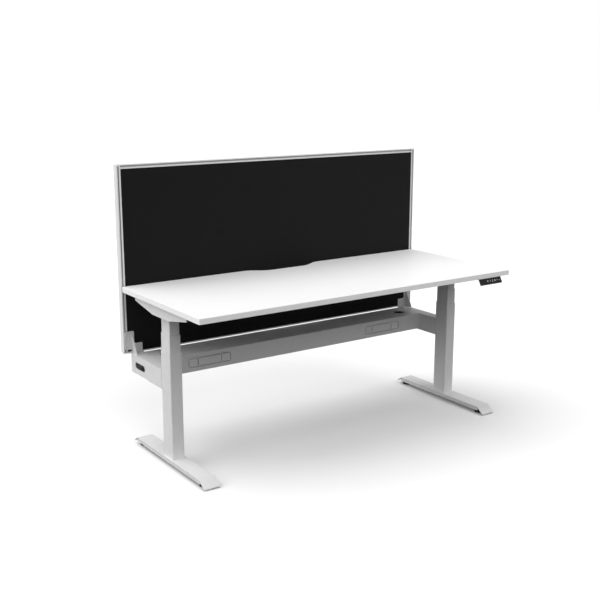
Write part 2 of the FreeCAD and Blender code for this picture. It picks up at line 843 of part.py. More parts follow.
def knock_out_slits():
    """Slits round three press-out panels in the beam's front wall, with uncut bridges at their corners."""
    wall = past(("beam_front", "beam_front + beam_sheet"))
    high = "knock_out_low + knock_out_height"
    edges = ["knock_out_far"]
    for width in ("knock_out_small", "knock_out_long", "knock_out_small"):
        edges.append(f"{edges[-1]} - {width}")
    upright = ("knock_out_low + knock_out_bridge", f"{high} - knock_out_bridge")
    slits = [slab(f"slit_up{i}", about(x, "knock_out_slit"), wall, upright) for i, x in enumerate(edges)]
    for i, (far, near) in enumerate(zip(edges, edges[1:])):
        run = (f"{near} + knock_out_bridge", f"{far} - knock_out_bridge")
        slits.append(slab(f"slit_low{i}", run, wall, about("knock_out_low", "knock_out_slit")))
        slits.append(slab(f"slit_high{i}", run, wall, about(high, "knock_out_slit")))
    return group("knock_out_slits", slits)


def make_cable_beam():
    length = about("0", "2 * (side_arm_in)")
    inside = about("0", "2 * (side_arm_in) - 2 * beam_sheet")
    block = slab("beam_block", length, ("beam_front", "beam_rear"), ("beam_low", "side_arm_top"))
    hollow = slab(
        "beam_hollow", inside, ("beam_front + beam_sheet", "beam_rear - beam_sheet"),
        ("beam_low + beam_sheet", "side_arm_top - beam_sheet"),
    )
    side_tools = [
        rod("beam_hole", ("beam_hole_x", "beam_mid"), "beam_hole_radius",
            past(("side_arm_top - beam_sheet", "side_arm_top"))),
        slot_tool("beam_slot", past(("side_arm_in - beam_sheet", "side_arm_in"))),
        knock_out_slits(),
    ]
    side_tools += bolt_holes("beam_end_hole", BEAM_BOLTS, "x", "overrun")
    side_cuts = group("beam_side_cuts", side_tools)
    duct = cut("beam_duct", block, [hollow])
    node("cable_beam", cut("cable_beam", cut("beam_right_cut", duct, [side_cuts]), [mirrored(side_cuts)]))


def make_frame_bolts():
    runs = [("foot", FOOT_BOLTS, "z", 1), ("stub", STUB_BOLTS, "z", 1),
            ("flange", FLANGE_BOLTS, "z", -1), ("beam", BEAM_BOLTS, "x", 1)]
    both("frame_bolts", [
        bolt(f"{name}_bolt{i}", seat, axis, way)
        for name, seats, axis, way in runs for i, seat in enumerate(seats)
    ])


# Screen

def screen_grooves(name, x, z):
    """Grooves sunk in the front and the back of a frame bar."""
    return [
        slab(name + "_front", x, ("screen_front - overrun", "screen_front + frame_groove_depth"), z),
        slab(name + "_back", x, ("screen_back - frame_groove_depth", "screen_back + overrun"), z),
    ]


def core_slot(name, x, z):
    return slab(name, x, about("screen_mid", "core_thick + 2 * core_gap"), z)


def dowel_heights():
    return {"low": "screen_low + dowel_inset", "high": "screen_top - dowel_inset"}


def dowel_span(gap):
    return rise(f"stile_in + dowel_bite - dowel_length - ({gap})", f"dowel_length + 2 * ({gap})")


def make_screen_stiles():
    bar_x = ("stile_in", "screen_half")
    tall = ("screen_low", "screen_top")
    tools = screen_grooves(
        "stile_groove", ("screen_half - groove_far", "screen_half - groove_near"),
        ("screen_low - overrun", "screen_top - frame_groove_stop"),
    )
    sunk = ("stile_in - overrun", "stile_in + core_bite + core_gap")
    tools.append(core_slot("stile_slot", sunk, past(tall)))
    for name, z in dowel_heights().items():
        tools.append(rod(f"stile_dowel_{name}", ("screen_mid", z), "dowel_radius + running_gap",
                         dowel_span("running_gap"), "x"))
    for i, z in enumerate(SCREEN_BOLTS):
        tools.append(rod(f"stile_bolt_hole{i}", ("screen_bolt_x", z), "screen_bolt_radius + hole_gap",
                         past(("screen_front", "screen_back")), "y"))
    stile = slab("stile_bar", bar_x, ("screen_front", "screen_back"), tall)
    pair("screen_stile", cut("screen_stile", stile, tools))


def rail_dowel_hole(name, z):
    return rod(name, ("screen_mid", z), "dowel_radius + running_gap", dowel_span("running_gap"), "x")


def make_top_rail():
    """A grooved rail between the stiles that takes the upper edge of the core board."""
    length = about("0", "2 * (stile_in)")
    under = "screen_top - frame_face"
    groove = ("screen_top - groove_far", "screen_top - groove_near")
    sunk = (f"{under} - overrun", f"{under} + core_bite + core_gap")
    tools = screen_grooves("rail_groove", past(length), groove)
    tools.append(core_slot("rail_slot", past(length), sunk))
    hole = rail_dowel_hole("top_rail_dowel_hole", dowel_heights()["high"])
    rail = slab("top_rail_bar", length, ("screen_front", "screen_back"), (under, "screen_top"))
    node("screen_rail_top", cut("screen_rail_top", rail, tools + [hole, mirrored(hole)]))


def make_bottom_rail():
    """A bar under the core board, on a thin sole that shows below the fabric."""
    length = about("0", "2 * (stile_in) + 2 * core_bite")
    bar = slab("bottom_rail_bar", length, about("screen_mid", "core_thick"), rise("screen_low", "frame_face"))
    sole = slab("bottom_rail_sole", about("0", "2 * (stile_in)"), ("screen_front", "screen_back"),
                rise("screen_low", "bottom_sole"))
    hole = rail_dowel_hole("bottom_rail_dowel_hole", dowel_heights()["low"])
    rail = fuse("bottom_rail", [bar, sole])
    node("screen_rail_bottom", cut("screen_rail_bottom", rail, [hole, mirrored(hole)]))


def make_screen_panel():
    bite = "2 * (stile_in) + 2 * core_bite"
    core_y = about("screen_mid", "core_thick")
    core_z = ("screen_low + frame_face", "screen_top - frame_face + core_bite")
    node("screen_core", slab("core", about("0", bite), core_y, core_z))
    fabric_x = about("0", "2 * (stile_in) - 2 * fabric_gap")
    fabric_z = ("screen_low + bottom_sole + fabric_gap", "screen_top - frame_face - fabric_gap")
    front_y = ("screen_front + fabric_recess", core_y[0])
    rear_y = (core_y[1], "screen_back - fabric_recess")
    node("screen_fabric_front", slab("fabric_front", fabric_x, front_y, fabric_z))
    node("screen_fabric_rear", slab("fabric_rear", fabric_x, rear_y, fabric_z))
    both("screen_dowels", [
        rod(f"dowel_{name}", ("screen_mid", z), "dowel_radius", dowel_span("0"), "x")
        for name, z in dowel_heights().items()
    ])


# Screen brackets

def make_screen_brackets():
    back = ("bracket_front", "screen_front")
    notch = "side_arm_top + bracket_notch_height"
    tab = "side_arm_top + bracket_tab_height"
    outline = [
        ("side_arm_in", "side_arm_top"), ("bracket_notch", "side_arm_top"), ("bracket_notch", notch),
        ("bracket_out", notch), ("bracket_out", "bracket_top"), ("bracket_neck", "bracket_top"),
        ("bracket_neck", tab), ("side_arm_in", tab),
    ]
    rounds = [((4, 5, 7), "bracket_round"), ((6,), "bracket_neck_round")]
    plate = prism("bracket_plate", "y", outline, back, rounds)
    side = [
        ("bracket_front", "side_arm_top"), ("bracket_front - gusset_foot", "side_arm_top"),
        ("bracket_front - gusset_foot", "side_arm_top + bracket_sheet + gusset_toe"),
        ("bracket_front - gusset_top", "bracket_top - gusset_drop"),
        ("bracket_front", "bracket_top - gusset_drop"),
    ]
    gusset = prism("bracket_gusset", "x", side, rise("gusset_x", "bracket_sheet"))
    flange = slab(
        "bracket_flange", ("side_arm_in", "gusset_x + bracket_sheet"),
        ("bracket_front - gusset_foot", "bracket_front"), rise("side_arm_top", "bracket_sheet"),
    )
    holes = [slab(
        "bracket_window", about("bracket_hole_x", "bracket_hole_width"), past(back),
        about("bracket_hole_z", "bracket_hole_height"),
    )]
    for i, z in enumerate(SCREEN_BOLTS):
        holes.append(rod(f"bracket_bolt_hole{i}", ("screen_bolt_x", z), "screen_bolt_radius + hole_gap",
                         past(back), "y"))
    holes += bolt_holes("flange_hole", FLANGE_BOLTS, "z", "overrun")
    pair("screen_bracket", cut("screen_bracket", fuse("bracket_welded", [plate, gusset, flange]), holes))


def make_screen_clamps():
    behind = ("screen_back", "clamp_back")
    plate = slab(
        "clamp_plate", ("bracket_out - clamp_width", "bracket_out"), behind,
        rise("clamp_low", "clamp_height"),
    )
    holes, fasteners = [], []
    for i, z in enumerate(SCREEN_BOLTS):
        centre = ("screen_bolt_x", z)
        nut_span = rise("clamp_back", "screen_nut")
        holes.append(rod(f"clamp_hole{i}", centre, "screen_bolt_radius + hole_gap", past(behind), "y"))
        fasteners.append(fuse(f"screen_bolt{i}", [
            rod(f"screen_bolt_shank{i}", centre, "screen_bolt_radius", ("bracket_front", nut_span[1]), "y"),
            rod(f"screen_bolt_head{i}", centre, "screen_bolt_head_radius",
                ("bracket_front - screen_bolt_head", "bracket_front"), "y"),
        ]))
        fasteners.append(cut(
            f"screen_nut{i}", rod(f"screen_nut_out{i}", centre, "screen_bolt_head_radius", nut_span, "y"),
            [rod(f"screen_nut_bore{i}", centre, "screen_bolt_radius + running_gap", past(nut_span), "y")],
        ))
    both("screen_clamp_plates", [cut("screen_clamp", plate, holes)])
    both("screen_bolts", fasteners)


# Control box under the worktop

def make_control_box():
    across = about("0", "control_width")
    deep = about("control_y", "control_depth")
    shell = cut("control_shell", slab("control_block", across, deep, ("control_floor", "worktop_under")), [
        slab(
            "control_hollow", about("0", "control_width - 2 * control_wall"),
            about("control_y", "control_depth - 2 * control_wall"),
            ("control_floor + control_wall", "worktop_under + overrun"),
        ),
    ])
    ears = []
    for i, side in enumerate(SIDES):
        centre = f"{side} * (control_width + control_ear) / 2"
        ears.append(slab(f"control_ear{i}", about(centre, "control_ear"), deep,
                         ("worktop_under - control_ear_thick", "worktop_under")))
    peg_span = rise("control_floor + control_wall", "control_peg_height")
    pegs = [
        rod(f"control_peg{i}", spot, "control_peg_radius", peg_span)
        for i, spot in enumerate(corner_spots("0", "control_peg_x", "control_y", "control_peg_y"))
    ]
    wall = past(("control_rear - control_wall", "control_rear"))
    tall = rise("socket_low", "socket_height")
    holes = [slab("control_inlet", about("-inlet_x", "inlet_width"), wall, tall)]
    for i in range(3):
        centre = f"inlet_x - {i} * socket_pitch"
        holes.append(slab(f"control_socket{i}", about(centre, "socket_width"), wall, tall))
    for i, (x, y) in enumerate(CONTROL_SCREWS):
        holes.append(wood_screw_hole(f"control_screw_hole{i}", x, y, "worktop_under - control_ear_thick"))
    node("control_box", cut("control_box", fuse("control_body", [shell] + ears + pegs), holes))
    board_y = about("control_y", "control_depth - 2 * control_wall - 2 * control_board_margin")
    board = slab(
        "control_card", about("0", "control_width - 2 * control_wall - 2 * control_board_margin"), board_y,
        rise("control_board_low", "control_board_thick"),
    )
    coil = slab(
        "control_coil", about("-control_coil_x", "control_coil_width"),
        rise(board_y[0], "control_coil_depth"),
        rise("control_board_low + control_board_thick", "control_coil_height"),
    )
    node("control_board", fuse("control_board", [board, coil]))


# Handset under the worktop's front edge

def tilted(name, x, down, sink):
    """A block square to the handset's face: down runs along the face from its upper edge, sink into it."""
    item = doc.addObject("Part::Box", name)
    for prop, span in zip(("Length", "Width", "Height"), (x, sink, down)):
        bind(item, prop, extent(span))
    lean = FreeCAD.Rotation(FreeCAD.Vector(1, 0, 0), -value("handset_tilt"))
    item.Placement = FreeCAD.Placement(FreeCAD.Vector(), lean)
    bind(item, "Placement.Rotation.Angle", "-handset_tilt")
    place(item, (
        x[0],
        f"front_edge + ({sink[0]}) * cos(handset_tilt) - ({down[1]}) * sin(handset_tilt)",
        f"worktop_under - ({sink[0]}) * sin(handset_tilt) - ({down[1]}) * cos(handset_tilt)",
    ))
    return item


def make_handset():
    lip = "worktop_under - handset_flange"
    foot_y, foot_z = "front_edge - handset_reach", "worktop_under - handset_drop"
    thick_y, thick_z = "handset_thick * cos(handset_tilt)", "handset_thick * sin(handset_tilt)"
    profile = [
        ("front_edge", "worktop_under"), (foot_y, foot_z), (f"{foot_y} + {thick_y}", f"{foot_z} - {thick_z}"),
        (f"front_edge + {thick_y} - handset_fold * sin(handset_tilt)", lip),
        ("front_edge + handset_depth", lip), ("front_edge + handset_depth", "worktop_under"),
    ]
    block = prism("handset_block", "x", profile, about("handset_x", "handset_width"))
    recess_down = ("handset_wall", "handset_face - handset_wall")
    holes = [tilted("handset_recess", about("handset_x", "handset_width - 2 * handset_wall"), recess_down,
                    ("-overrun", "handset_recess"))]
    for i, (x, y) in enumerate(HANDSET_SCREWS):
        holes.append(wood_screw_hole(f"handset_screw_hole{i}", x, y, lip))
    node("handset_housing", cut("handset_housing", block, holes))
    inner_x = about("handset_x", "handset_width - 2 * handset_wall - 2 * fit_gap")
    inner_down = ("handset_wall + fit_gap", "handset_panel_low")
    panel = tilted("handset_plate", inner_x, inner_down, ("0", "handset_panel_thick"))
    centres = [f"first_button + {i} * button_pitch" for i in range(len(BUTTONS))]
    window_down = about("handset_face / 2", "button_height + 2 * button_gap")
    window_sink = past(("0", "handset_panel_thick"))
    windows = [
        tilted(f"button_window{i}", about(x, "button_width + 2 * button_gap"), window_down, window_sink)
        for i, x in enumerate(centres)
    ]
    node("handset_panel", cut("handset_panel", panel, windows))
    node("handset_board", tilted("handset_card", inner_x, inner_down,
                                 rise("handset_board_sink", "handset_board_thick")))
    for name, x in zip(BUTTONS, centres):
        make_button(name, x)


def make_button(name, x):
    """A key cap in the panel with a flange behind it that stops it from falling out."""
    cap = tilted(f"cap_{name}", about(x, "button_width"), about("handset_face / 2", "button_height"),
                 ("-button_proud", "handset_panel_thick"))
    flange = tilted(
        f"cap_flange_{name}", about(x, "button_width + 2 * button_flange"),
        about("handset_face / 2", "button_height + 2 * button_flange"),
        rise("handset_panel_thick", "button_flange_thick"),
    )
    node(f"button_{name}", fuse(f"button_{name}", [cap, flange]))


def write_nodes():
    doc.recompute()
    for item in doc.Objects:
        if "Invalid" in item.State or "Error" in item.State:
            raise RuntimeError(f"{item.Name} is {item.State}")
    os.makedirs("parts", exist_ok=True)
    for item in nodes:
        if item.Shape.isNull() or not item.Shape.isValid() or not item.Shape.Solids:
            raise RuntimeError(f"{item.Label} has no valid solid")
        item.Shape.exportStep(f"parts/{item.Label}.step")


fill_sheet()
make_worktop()
make_support_arms()
make_worktop_screws()
make_outer_tubes()
make_column_bases()
make_liners()
make_mid_tubes()
make_inner_tubes()
make_head_bolts()
make_drives()
make_feet()
make_glides()
make_side_arms()
make_cable_beam()
make_frame_bolts()
make_screen_stiles()
make_bottom_rail()
make_top_rail()
make_screen_panel()
make_screen_brackets()
make_screen_clamps()
make_control_box()
make_handset()
write_nodes()
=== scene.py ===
import json
import math

import bmesh
import bpy
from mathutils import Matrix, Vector


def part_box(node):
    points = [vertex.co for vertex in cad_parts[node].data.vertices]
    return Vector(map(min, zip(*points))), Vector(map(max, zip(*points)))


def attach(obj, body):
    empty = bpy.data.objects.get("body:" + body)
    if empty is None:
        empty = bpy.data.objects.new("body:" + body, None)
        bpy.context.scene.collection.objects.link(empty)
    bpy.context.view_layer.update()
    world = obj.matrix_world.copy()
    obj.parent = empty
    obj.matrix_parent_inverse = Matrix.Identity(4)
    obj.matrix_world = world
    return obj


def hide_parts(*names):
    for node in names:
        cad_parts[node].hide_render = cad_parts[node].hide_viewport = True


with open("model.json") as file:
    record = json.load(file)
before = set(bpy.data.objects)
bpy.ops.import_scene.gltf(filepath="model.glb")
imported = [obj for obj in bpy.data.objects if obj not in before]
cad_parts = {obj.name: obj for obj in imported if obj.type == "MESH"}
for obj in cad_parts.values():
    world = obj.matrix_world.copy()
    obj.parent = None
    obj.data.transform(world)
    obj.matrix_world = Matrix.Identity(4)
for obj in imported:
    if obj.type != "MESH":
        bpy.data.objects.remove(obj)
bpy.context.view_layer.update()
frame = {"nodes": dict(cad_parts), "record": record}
nodes = frame["nodes"]

# Camera at the photograph's angle: metres and degrees, with the lens and sensor in millimetres
CAMERA_SPOT = (-2.7173, -3.7392, 1.7441)
CAMERA_PITCH = 76.878
CAMERA_YAW = -34.671
CAMERA_LENS = 57.59
CAMERA_SENSOR = 36.0
CAMERA_SIGHT = 200.0

# Light: where each lamp shines from and its strength, the lamps' spread in degrees, and the surroundings
LAMPS = {
    "overhead": ((-0.26, 0.26, 0.93), 1.64),
    "left": ((-0.94, 0.0, 0.34), 1.04),
    "behind": ((-0.66, 0.66, 0.34), 0.90),
    "front": ((0.0, -0.71, 0.71), 1.41),
}
LAMP_SPREAD = 60.0
AMBIENT = 0.20
BACKDROP = 1.0

# Floor: half its width, its tone where it is seen and where it only throws light back, and its glow
FLOOR_HALF = 40.0
FLOOR_SEEN = 0.92
FLOOR_BOUNCE = 0.07
FLOOR_GLOW = 0.05

# Broken edges of the CAD nodes, in metres and degrees
EDGE_BREAK = 0.0004
EDGE_BREAKS = {
    "worktop": 0.0003,
    "worktop_edging": 0.0008,
    "handset_housing": 0.0010,
    "handset_panel": 0.0002,
}
EDGE_SEGMENTS = 2
SHARP_ANGLE = 40.0
FLAT_ANGLE = 0.5
WELD_GAP = 0.00001

# Screen: its level bars, and its cloth's edges, crown, threads and grid
RAILS = ("screen_rail_top", "screen_rail_bottom")
CLOTH_ROUND = 0.003
CLOTH_CROWN = 0.0006
CLOTH_THREAD = 0.0012
CLOTH_STEPS_ACROSS = 48
CLOTH_STEPS_UPWARD = 24
CLOTH_TURN_SHARES = (0.0, 0.08, 0.3, 0.6, 1.0)

# Fasteners: the node that each set replaces and the body that it is on, and their roundness
FASTENERS = {
    "frame_bolt_set": ("frame_bolts", "base"),
    "screen_bolt_set": ("screen_bolts", "base"),
    "worktop_screw_set": ("worktop_screws", "top"),
    "column_head_bolt_set": ("column_head_bolts", "top"),
}
RING_POINTS = 24
SIXTH_TURN = math.pi / 3
CREASE_ANGLE = 38.0

# Nuts: a solid shorter than the first share of its width is one; the chamfer is a share of its height
NUT_HEIGHT_SHARE = 0.6
NUT_CHAMFER_SHARE = 0.12

# Bolts: points beyond the first share of the head's radius are its rim, within the second the shank
RIM_SHARE = 0.95
SHANK_SHARE = 0.8

# Socket as a share of a bolt head's radius, and the tip's chamfer as a share of the shank's radius
SOCKET_SHARE = 0.42
TIP_CHAMFER_SHARE = 0.3

# Rings of a bolt's socket and head: shares of the socket's or the head's radius, and of the head's height
SOCKET_RING_SHARES = ((0.96, 0.55), (1.0, 0.04), (1.06, 0.0))
HEAD_RING_SHARES = ((0.66, 0.0), (0.80, 0.10), (0.92, 0.32), (0.985, 0.62), (1.0, 0.85), (0.98, 1.0))

# Handset face: its upper edge, and how far its lower edge lies forward of that and below it
FACE_TOP_Y = -0.390
FACE_TOP_Z = 0.755
FACE_REACH = 0.015
FACE_DROP = 0.028
FACE_LENGTH = math.hypot(FACE_REACH, FACE_DROP)
KEY_PROUD = 0.0003

# Legends of the keys: one line each, in units
LEGENDS = {
    "memory": [(-2.2, -3.4), (-2.2, 3.4), (0.0, 0.2), (2.2, 3.4), (2.2, -3.4)],
    "one": [(-1.5, 2.0), (0.4, 3.4), (0.4, -3.4)],
    "two": [
        (-2.1, 1.9), (-1.5, 3.0), (0.0, 3.4), (1.6, 2.9), (2.1, 1.7), (1.5, 0.3), (-2.2, -3.4), (2.3, -3.4),
    ],
    "three": [
        (-2.1, 2.7), (-0.9, 3.4), (0.9, 3.4), (2.0, 2.4), (1.7, 0.9), (0.1, 0.2),
        (1.9, -0.7), (2.2, -2.2), (1.0, -3.3), (-0.9, -3.4), (-2.2, -2.7),
    ],
    "up": [(-2.8, -1.4), (0.0, 1.6), (2.8, -1.4)],
    "down": [(-2.8, 1.4), (0.0, -1.6), (2.8, 1.4)],
}

# Legend sizes: a unit, the stroke's width, its height over the key, its root in it, the mitre's limit
LEGEND_UNIT = 0.0012
LEGEND_STROKE = 0.0015
LEGEND_HEIGHT = 0.00006
LEGEND_ROOT = 0.0002
LEGEND_LEAN_SHARE = 0.5

# Textures: the range that noise mostly keeps to, the wave texture's own rate, rays that find recesses for
# the painted shade
NOISE_LOW = 0.3
NOISE_HIGH = 0.7
WAVE_RATE = 20
WAVE_DETAIL_SCALE = 0.4
OCCLUSION_SAMPLES = 8

# Cloth and circuit board: the yarn's make-up, its tones at three heights, and where a track begins
WEAVE_SHARE = 0.7
SLUB_SHARE = 0.5
YARN_TONE_SHARES = ((0.15, 0.3), (0.55, 1.0), (0.95, 2.4))
TRACK_EDGE = 0.72


# Materials

def grey(level):
    return (level, level, level)


def opaque(colour):
    """A colour with the fourth number that a socket asks for."""
    return (*colour, 1.0)


def shade(colour, share):
    return tuple(part * share for part in colour)


def fill(item, **sockets):
    """Sets constants on a node's sockets; an underscore in a name stands for a space."""
    for name, constant in sockets.items():
        item.inputs[name.replace("_", " ")].default_value = constant


class Shader:
    """A material under construction: its node tree, its main shader and its object coordinates."""

    def __init__(self, name):
        self.material = bpy.data.materials.new(name)
        self.material.use_nodes = True
        self.tree = self.material.node_tree
        self.main = self.tree.nodes["Principled BSDF"]
        self.coordinates = self.add("ShaderNodeTexCoord").outputs["Object"]

    def add(self, kind, **settings):
        item = self.tree.nodes.new(kind)
        for key, setting in settings.items():
            setattr(item, key, setting)
        return item

    def feed(self, source, socket):
        """Gives a socket another node's output, or else a constant."""
        if isinstance(source, bpy.types.NodeSocket):
            self.tree.links.new(source, socket)
        else:
            socket.default_value = source

    def stretched(self, scale):
        """Object coordinates scaled apart on each axis."""
        item = self.add("ShaderNodeMapping")
        fill(item, Scale=scale)
        self.feed(self.coordinates, item.inputs["Vector"])
        return item.outputs["Vector"]

    def noise(self, scale, detail=2.0, rough=0.5, vector=None):
        item = self.add("ShaderNodeTexNoise")
        fill(item, Scale=scale, Detail=detail, Roughness=rough)
        self.feed(vector or self.coordinates, item.inputs["Vector"])
        return item.outputs["Fac"]

    def wave(self, direction, period, distortion=0.0):
        """Bands across one axis, with the given distance between them."""
        item = self.add("ShaderNodeTexWave", bands_direction=direction)
        fill(item, Scale=2 * math.pi / (WAVE_RATE * period))
        fill(item, Distortion=distortion, Detail_Scale=WAVE_DETAIL_SCALE)
        self.feed(self.coordinates, item.inputs["Vector"])
        return item.outputs["Fac"]

    def spread(self, source, low, high, start=NOISE_LOW, end=NOISE_HIGH):
        """Maps a texture to a range of numbers."""
        item = self.add("ShaderNodeMapRange")
        fill(item, From_Min=start, From_Max=end, To_Min=low, To_Max=high)
        self.feed(source, item.inputs["Value"])
        return item.outputs["Result"]

    def ramp(self, source, stops):
        """Maps a texture to colours; stops pairs a position with a colour."""
        item = self.add("ShaderNodeValToRGB")
        elements = item.color_ramp.elements
        for position, _ in stops[1:-1]:
            elements.new(position)
        for element, (position, colour) in zip(elements, stops):
            element.position = position
            element.color = opaque(colour)
        self.feed(source, item.inputs["Fac"])
        return item.outputs["Color"]

    def tones(self, source, colour, dark_share, light_share, start=NOISE_LOW, end=NOISE_HIGH):
        """Maps a texture to two shades of one colour."""
        return self.ramp(source, [(start, shade(colour, dark_share)), (end, shade(colour, light_share))])

    def combine(self, operation, first, second):
        """A sum, a product or the like; each part is an output or a number."""
        item = self.add("ShaderNodeMath", operation=operation)
        for socket, source in zip(item.inputs, (first, second)):
            self.feed(source, socket)
        return item.outputs["Value"]

    def mix(self, factor, first, second):
        """Blends two colours; each is an output or a constant."""
        item = self.add("ShaderNodeMix", data_type="RGBA")
        for name, source in (("Factor", factor), ("A", first), ("B", second)):
            self.feed(source, item.inputs[name])
        return item.outputs["Result"]

    def worn(self, tone, colour, light_share):
        """Lightens a tone a little where an edge is rubbed."""
        bend = self.add("ShaderNodeNewGeometry").outputs["Pointiness"]
        rubbed = self.spread(bend, low=0.0, high=0.35, start=0.52, end=0.60)
        return self.mix(rubbed, tone, opaque(shade(colour, light_share)))

    def painted_recess_shade(self, tone, colour, dark_share, reach):
        """Paints shade into a tone in narrow recesses, darker where occlusion rays soon meet a surface."""
        occlusion = self.add("ShaderNodeAmbientOcclusion", samples=OCCLUSION_SAMPLES)
        fill(occlusion, Distance=reach)
        return self.mix(occlusion.outputs["AO"], opaque(shade(colour, dark_share)), tone)

    def bump(self, height, distance, strength):
        item = self.add("ShaderNodeBump")
        fill(item, Strength=strength, Distance=distance)
        self.feed(height, item.inputs["Height"])
        self.feed(item.outputs["Normal"], self.main.inputs["Normal"])

    def colour(self, output):
        self.feed(output, self.main.inputs["Base Color"])

    def roughness(self, output):
        self.feed(output, self.main.inputs["Roughness"])


def powder_coat(name, colour):
    """Satin powder coat: fine orange peel, faint mottling and rubbed edges."""
    made = Shader(name)
    mottle = made.tones(made.noise(scale=35.0, detail=3.0), colour, dark_share=0.97, light_share=1.02)
    made.colour(made.worn(mottle, colour, light_share=1.12))
    made.roughness(made.spread(made.noise(scale=260.0), low=0.36, high=0.48))
    made.bump(made.noise(scale=950.0, rough=0.6), distance=0.00006, strength=0.5)
    fill(made.main, Specular_IOR_Level=0.3)
    return made.material


def satin_aluminium(name, colour, die_lines):
    """Extruded bar with a light satin coat; the die lines run along its length, and shade is painted into
    its grooves.
    """
    made = Shader(name)
    lines = made.noise(scale=1.0, detail=4.0, rough=0.65, vector=made.stretched(die_lines))
    streaks = made.tones(lines, colour, dark_share=0.96, light_share=1.03)
    # Painted shade: the bar's grooves and the edge beside the cloth darken where ambient occlusion finds
    # them enclosed
    made.colour(made.painted_recess_shade(streaks, colour, dark_share=0.25, reach=0.008))
    made.roughness(made.spread(lines, low=0.32, high=0.46))
    made.bump(lines, distance=0.00003, strength=0.5)
    fill(made.main, Metallic=0.15)
    return made.material


def melamine(name, colour):
    """White board face with the fine pearl texture that a press plate leaves."""
    made = Shader(name)
    cloud = made.noise(scale=9.0, detail=3.0)
    made.colour(made.tones(cloud, colour, dark_share=0.992, light_share=1.0))
    made.roughness(made.spread(made.noise(scale=420.0), low=0.46, high=0.56))
    made.bump(made.noise(scale=1400.0, rough=0.7), distance=0.00004, strength=0.35)
    fill(made.main, Specular_IOR_Level=0.3)
    return made.material


def edging(name, colour):
    """Plastic edge strip, scraped along its length."""
    made = Shader(name)
    scraped = made.stretched(scale=(40.0, 40.0, 1600.0))
    streak = made.noise(scale=1.0, detail=3.0, rough=0.6, vector=scraped)
    made.colour(made.tones(streak, colour, dark_share=0.97, light_share=1.0))
    made.roughness(made.spread(streak, low=0.36, high=0.48))
    made.bump(streak, distance=0.00003, strength=0.4)
    return made.material


def woven_cloth(name, colour, thread):
    """Plain weave with a slub in the yarn and a soft sheen."""
    made = Shader(name)
    warp = made.wave("X", period=thread, distortion=0.35)
    weft = made.wave("Z", period=thread, distortion=0.35)
    weave = made.combine("MULTIPLY", warp, weft)
    slub = made.noise(scale=70.0, detail=4.0, rough=0.6, vector=made.stretched(scale=(1.0, 1.0, 7.0)))
    weave_height = made.combine("MULTIPLY", weave, WEAVE_SHARE)
    slub_height = made.combine("MULTIPLY", slub, SLUB_SHARE)
    yarn = made.combine("ADD", weave_height, slub_height)
    made.colour(made.ramp(yarn, [(height, shade(colour, share)) for height, share in YARN_TONE_SHARES]))
    made.roughness(made.spread(slub, low=0.82, high=0.95))
    made.bump(yarn, distance=0.0005, strength=0.8)
    fill(made.main, Sheen_Weight=0.05, Sheen_Roughness=0.5, Specular_IOR_Level=0.16)
    return made.material


def moulded_plastic(name, colour):
    """Matt moulded plastic with a fine eroded texture."""
    made = Shader(name)
    cloud = made.noise(scale=55.0, detail=3.0)
    mottle = made.tones(cloud, colour, dark_share=0.85, light_share=1.15)
    made.colour(made.worn(mottle, colour, light_share=1.6))
    made.roughness(made.spread(cloud, low=0.46, high=0.6))
    made.bump(made.noise(scale=1700.0, rough=0.7), distance=0.00005, strength=0.6)
    fill(made.main, Specular_IOR_Level=0.2)
    return made.material


def satin_plastic(name, colour):
    """Smooth plastic with faint finger smears."""
    made = Shader(name)
    smear = made.noise(scale=28.0, detail=4.0, rough=0.6, vector=made.stretched(scale=(1.0, 2.5, 1.0)))
    made.colour(made.tones(smear, colour, dark_share=1.0, light_share=1.25, start=0.35, end=0.75))
    made.roughness(made.spread(smear, low=0.30, high=0.42))
    made.bump(made.noise(scale=220.0), distance=0.00001, strength=0.3)
    fill(made.main, Specular_IOR_Level=0.1)
    return made.material


def plated_steel(name, colour):
    """Zinc plate with a fine crystalline mottle and turning marks."""
    made = Shader(name)
    mottle = made.noise(scale=420.0, detail=3.0, rough=0.6)
    made.colour(made.tones(mottle, colour, dark_share=0.85, light_share=1.1))
    made.roughness(made.spread(mottle, low=0.24, high=0.4))
    made.bump(made.wave("Z", period=0.0004), distance=0.00002, strength=0.4)
    fill(made.main, Metallic=1.0)
    return made.material


def raw_board(name, colour):
    """Fibreboard: short matted fibres."""
    made = Shader(name)
    matted = made.stretched(scale=(220.0, 900.0, 220.0))
    fibre = made.noise(scale=1.0, detail=5.0, rough=0.7, vector=matted)
    made.colour(made.tones(fibre, colour, dark_share=0.7, light_share=1.2, start=0.25, end=0.75))
    made.roughness(made.spread(fibre, low=0.75, high=0.92))
    made.bump(fibre, distance=0.0002, strength=0.6)
    return made.material


def circuit_board(name, colour):
    """Lacquered board with a hint of copper tracks under the lacquer."""
    made = Shader(name)
    bands = made.wave("X", period=0.006, distortion=2.0)
    tracks = made.combine("GREATER_THAN", bands, TRACK_EDGE)
    made.colour(made.tones(tracks, colour, dark_share=1.0, light_share=1.7, start=0.0, end=1.0))
    made.roughness(made.spread(made.noise(scale=300.0), low=0.25, high=0.4))
    made.bump(tracks, distance=0.00004, strength=0.5)
    return made.material


def printed_ink(name, colour):
    """White legend ink, a little thinner in places."""
    made = Shader(name)
    thin = made.noise(scale=1500.0, detail=3.0, rough=0.6)
    made.colour(made.tones(thin, colour, dark_share=0.9, light_share=1.0, start=0.2, end=0.6))
    made.roughness(made.spread(thin, low=0.4, high=0.55))
    return made.material


BAR_GREY = grey(0.76)
BLACK = (0.012, 0.012, 0.0125)
UPRIGHT_LINES = (900.0, 900.0, 6.0)
LEVEL_LINES = (6.0, 900.0, 900.0)

